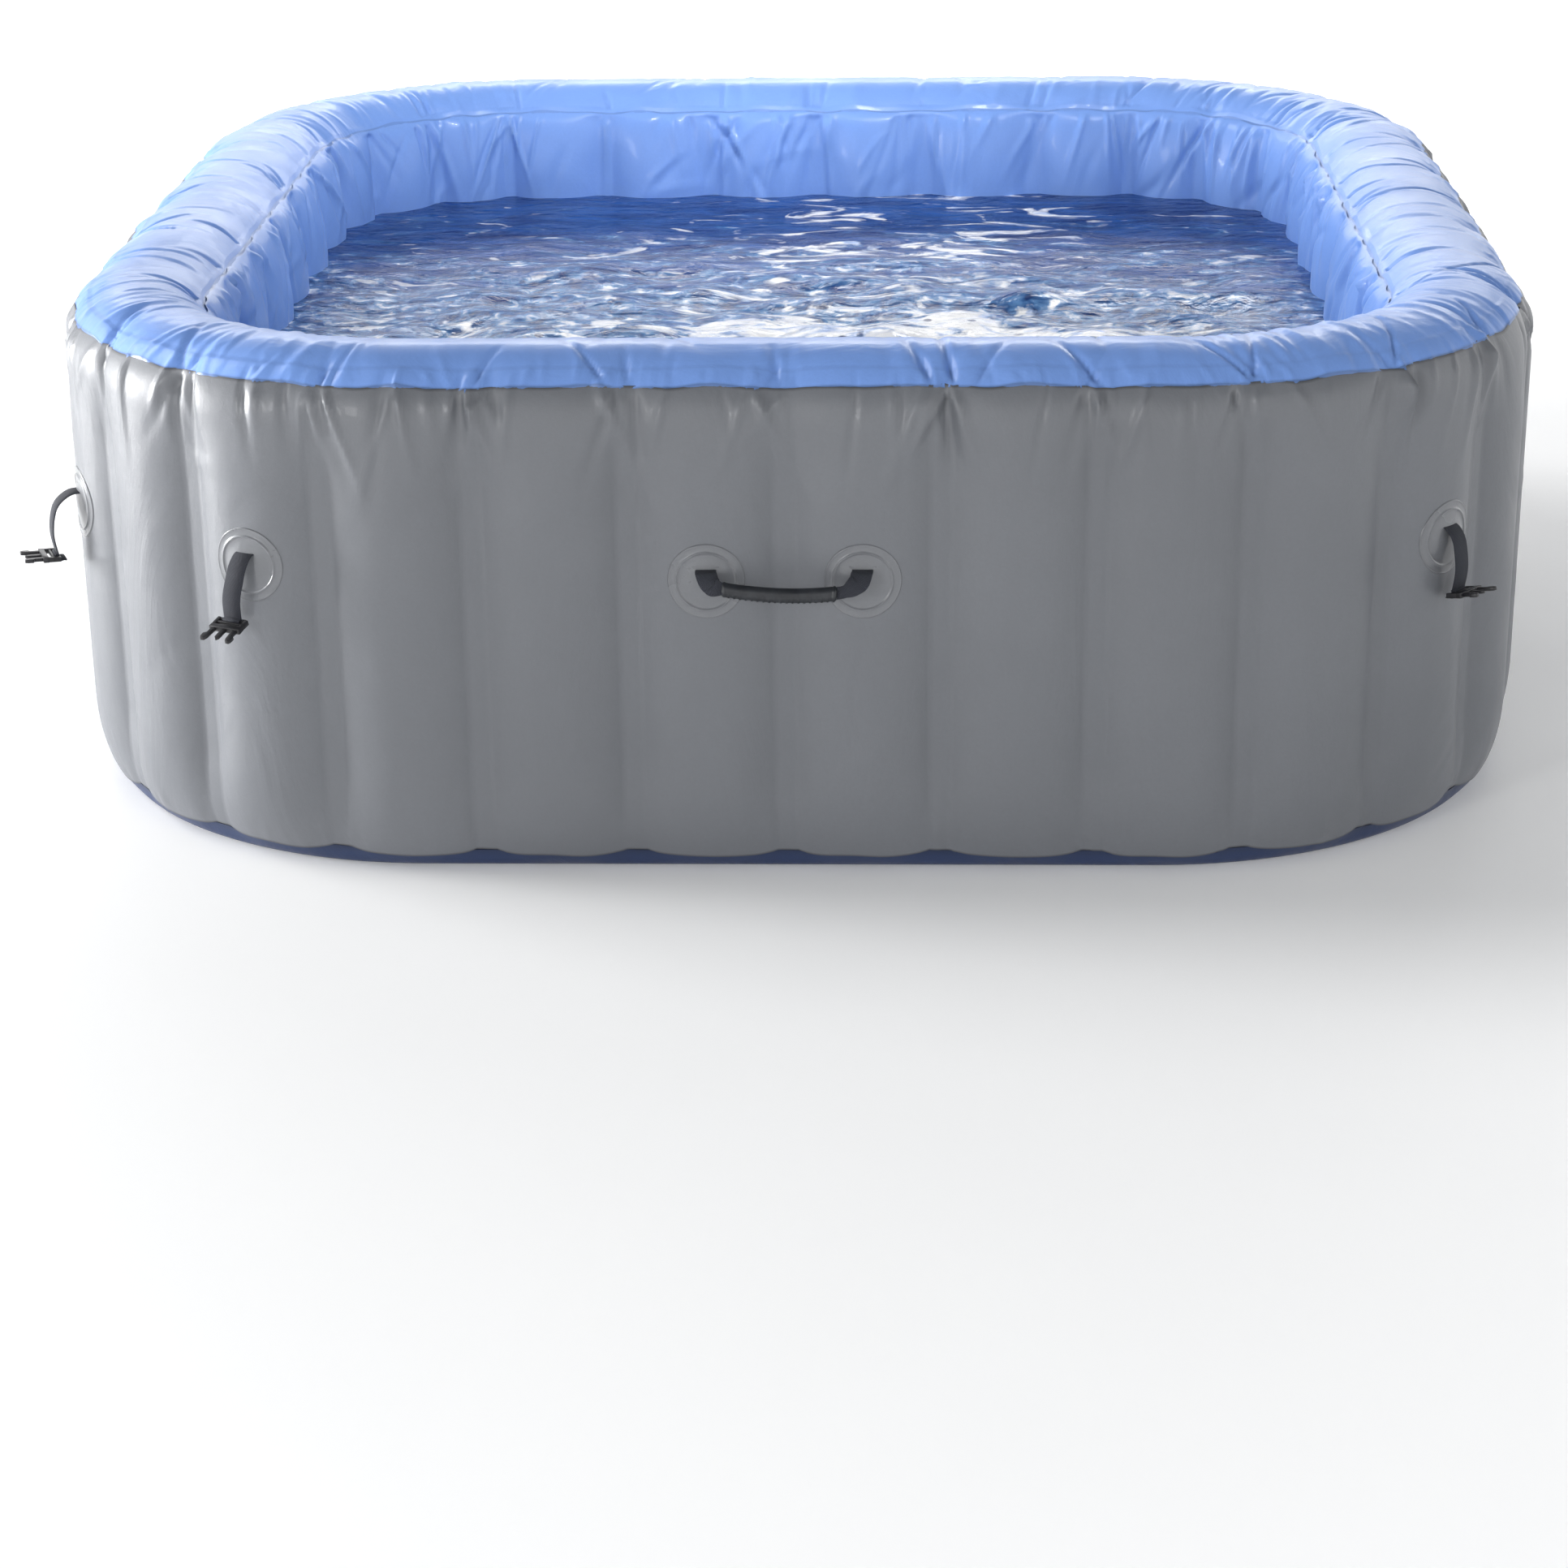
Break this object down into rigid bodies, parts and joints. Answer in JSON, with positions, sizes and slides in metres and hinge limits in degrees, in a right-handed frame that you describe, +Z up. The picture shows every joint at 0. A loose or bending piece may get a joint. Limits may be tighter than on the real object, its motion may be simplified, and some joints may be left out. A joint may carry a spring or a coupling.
{
  "type": "inflatable hot tub",
  "caption": "Rounded-square inflatable hot tub with upright air channels, open basin, cover straps, carry handles, valves and pump couplings.",
  "frame": {"origin": "on the ground at the middle of the tub's bottom sheet", "axes": "+Z up, front with the single visible handle towards -Y, +X to the right seen from the front"},
  "size_m": [1.9444, 1.9272, 0.64],
  "materials": {
    "grey_vinyl": "satin embossed PVC sheet",
    "blue_vinyl": "glossy PVC sheet",
    "navy_vinyl": "satin PVC sheet",
    "clear_vinyl": "glossy welded PVC patch",
    "web_tape": "matte PVC tape",
    "webbing": "woven polyester webbing",
    "buckle": "moulded acetal",
    "grip": "ribbed soft sleeve",
    "fitting": "moulded plastic",
    "hose": "flexible hose"
  },
  "bodies": {
    "root": {"outer_wall": "grey_vinyl", "top_ring": "blue_vinyl", "inner_wall": "blue_vinyl", "base_sheet": "navy_vinyl", "floor_sheet": "blue_vinyl", "air_channel": "blue_vinyl", "tension_webs": "web_tape", "front_left_side_patch": "clear_vinyl", "front_left_patch": "clear_vinyl", "front_right_patch": "clear_vinyl", "front_right_side_patch": "clear_vinyl", "back_right_side_patch": "clear_vinyl", "back_right_patch": "clear_vinyl", "back_left_patch": "clear_vinyl", "back_left_side_patch": "clear_vinyl", "front_handle_left_patch": "clear_vinyl", "front_handle_right_patch": "clear_vinyl", "right_handle_left_patch": "clear_vinyl", "right_handle_right_patch": "clear_vinyl", "left_handle_left_patch": "clear_vinyl", "left_handle_right_patch": "clear_vinyl", "inlet_coupling": "fitting", "inlet_clamp_nut": "fitting", "outlet_coupling": "fitting", "outlet_clamp_nut": "fitting", "air_coupling": "fitting", "air_hose": "hose", "inflation_valve": "fitting", "drain_valve": "fitting"},
    "front_left_side_strap": {"front_left_side_strap": "webbing"},
    "front_left_side_buckle": {"front_left_side_buckle": "buckle"},
    "front_left_strap": {"front_left_strap": "webbing"},
    "front_left_buckle": {"front_left_buckle": "buckle"},
    "front_right_strap": {"front_right_strap": "webbing"},
    "front_right_buckle": {"front_right_buckle": "buckle"},
    "front_right_side_strap": {"front_right_side_strap": "webbing"},
    "front_right_side_buckle": {"front_right_side_buckle": "buckle"},
    "back_right_side_strap": {"back_right_side_strap": "webbing"},
    "back_right_side_buckle": {"back_right_side_buckle": "buckle"},
    "back_right_strap": {"back_right_strap": "webbing"},
    "back_right_buckle": {"back_right_buckle": "buckle"},
    "back_left_strap": {"back_left_strap": "webbing"},
    "back_left_buckle": {"back_left_buckle": "buckle"},
    "back_left_side_strap": {"back_left_side_strap": "webbing"},
    "back_left_side_buckle": {"back_left_side_buckle": "buckle"},
    "front_handle": {"front_handle_webbing": "webbing", "front_handle_grip": "grip"},
    "right_handle": {"right_handle_webbing": "webbing", "right_handle_grip": "grip"},
    "left_handle": {"left_handle_webbing": "webbing", "left_handle_grip": "grip"},
    "inlet_stopper": {"inlet_stopper": "fitting"},
    "outlet_stopper": {"outlet_stopper": "fitting"},
    "inflation_valve_cap": {"inflation_valve_cap": "fitting"},
    "drain_cap": {"drain_cap": "fitting"},
    "drain_plug": {"drain_plug": "fitting"}
  },
  "joints": [
    {"name": "front_left_side_strap_swing", "type": "hinge", "parent": "root", "child": "front_left_side_strap", "pos_m": [-0.89656, -0.63964, 0.4], "axis": [-0.3958, 0.9183, 0], "range_deg": [-5, 80]},
    {"name": "front_left_side_buckle_tilt", "type": "hinge", "parent": "front_left_side_strap", "child": "front_left_side_buckle", "pos_m": [-0.92659, -0.65258, 0.32], "axis": [-0.3958, 0.9183, 0], "range_deg": [-80, 40]},
    {"name": "front_left_strap_swing", "type": "hinge", "parent": "root", "child": "front_left_strap", "pos_m": [-0.63964, -0.89656, 0.4], "axis": [-0.9183, 0.3958, 0], "range_deg": [-5, 80]},
    {"name": "front_left_buckle_tilt", "type": "hinge", "parent": "front_left_strap", "child": "front_left_buckle", "pos_m": [-0.64665, -0.91282, 0.32], "axis": [-0.9183, 0.3958, 0], "range_deg": [-80, 40]},
    {"name": "front_right_strap_swing", "type": "hinge", "parent": "root", "child": "front_right_strap", "pos_m": [0.7927, -0.7927, 0.4], "axis": [-0.7071, -0.7071, 0], "range_deg": [-5, 80]},
    {"name": "front_right_buckle_tilt", "type": "hinge", "parent": "front_right_strap", "child": "front_right_buckle", "pos_m": [0.8038, -0.8038, 0.32], "axis": [-0.7071, -0.7071, 0], "range_deg": [-80, 40]},
    {"name": "front_right_side_strap_swing", "type": "hinge", "parent": "root", "child": "front_right_side_strap", "pos_m": [0.9393, -0.27531, 0.4], "axis": [0, -1, 0], "range_deg": [-5, 80]},
    {"name": "front_right_side_buckle_tilt", "type": "hinge", "parent": "front_right_side_strap", "child": "front_right_side_buckle", "pos_m": [0.955, -0.27531, 0.32], "axis": [0, -1, 0], "range_deg": [-10, 110]},
    {"name": "back_right_side_strap_swing", "type": "hinge", "parent": "root", "child": "back_right_side_strap", "pos_m": [0.89656, 0.63964, 0.4], "axis": [0.3958, -0.9183, 0], "range_deg": [-5, 80]},
    {"name": "back_right_side_buckle_tilt", "type": "hinge", "parent": "back_right_side_strap", "child": "back_right_side_buckle", "pos_m": [0.91098, 0.64585, 0.32], "axis": [0.3958, -0.9183, 0], "range_deg": [-10, 110]},
    {"name": "back_right_strap_swing", "type": "hinge", "parent": "root", "child": "back_right_strap", "pos_m": [0.63964, 0.89656, 0.4], "axis": [0.9183, -0.3958, 0], "range_deg": [-5, 80]},
    {"name": "back_right_buckle_tilt", "type": "hinge", "parent": "back_right_strap", "child": "back_right_buckle", "pos_m": [0.64585, 0.91098, 0.32], "axis": [0.9183, -0.3958, 0], "range_deg": [-10, 110]},
    {"name": "back_left_strap_swing", "type": "hinge", "parent": "root", "child": "back_left_strap", "pos_m": [-0.7927, 0.7927, 0.4], "axis": [0.7071, 0.7071, 0], "range_deg": [-5, 80]},
    {"name": "back_left_buckle_tilt", "type": "hinge", "parent": "back_left_strap", "child": "back_left_buckle", "pos_m": [-0.8038, 0.8038, 0.32], "axis": [0.7071, 0.7071, 0], "range_deg": [-10, 110]},
    {"name": "back_left_side_strap_swing", "type": "hinge", "parent": "root", "child": "back_left_side_strap", "pos_m": [-0.93719, 0.45914, 0.4], "axis": [0.042, 0.9991, 0], "range_deg": [-5, 80]},
    {"name": "back_left_side_buckle_tilt", "type": "hinge", "parent": "back_left_side_strap", "child": "back_left_side_buckle", "pos_m": [-0.95288, 0.4598, 0.32], "axis": [0.042, 0.9991, 0], "range_deg": [-10, 110]},
    {"name": "front_handle_swing", "type": "hinge", "parent": "root", "child": "front_handle", "pos_m": [0, -0.9393, 0.392], "axis": [-1, 0, 0], "range_deg": [-8, 100]},
    {"name": "right_handle_swing", "type": "hinge", "parent": "root", "child": "right_handle", "pos_m": [0.9393, 0, 0.392], "axis": [0, -1, 0], "range_deg": [-8, 100]},
    {"name": "left_handle_swing", "type": "hinge", "parent": "root", "child": "left_handle", "pos_m": [-0.9393, 0, 0.392], "axis": [0, 1, 0], "range_deg": [-8, 100]},
    {"name": "inlet_stopper_pull", "type": "slide", "parent": "root", "child": "inlet_stopper", "axis": [0, -1, 0], "range_m": [0, 0.05]},
    {"name": "outlet_stopper_pull", "type": "slide", "parent": "root", "child": "outlet_stopper", "axis": [0, -1, 0], "range_m": [0, 0.05]},
    {"name": "inflation_cap_lift", "type": "slide", "parent": "root", "child": "inflation_valve_cap", "axis": [-0.042, 0.9991, 0], "range_m": [0, 0.03]},
    {"name": "drain_cap_lift", "type": "slide", "parent": "root", "child": "drain_cap", "axis": [0.042, 0.9991, 0], "range_m": [0, 0.03]},
    {"name": "drain_plug_pull", "type": "slide", "parent": "root", "child": "drain_plug", "axis": [-0.042, -0.9991, 0], "range_m": [0, 0.04]}
  ]
}
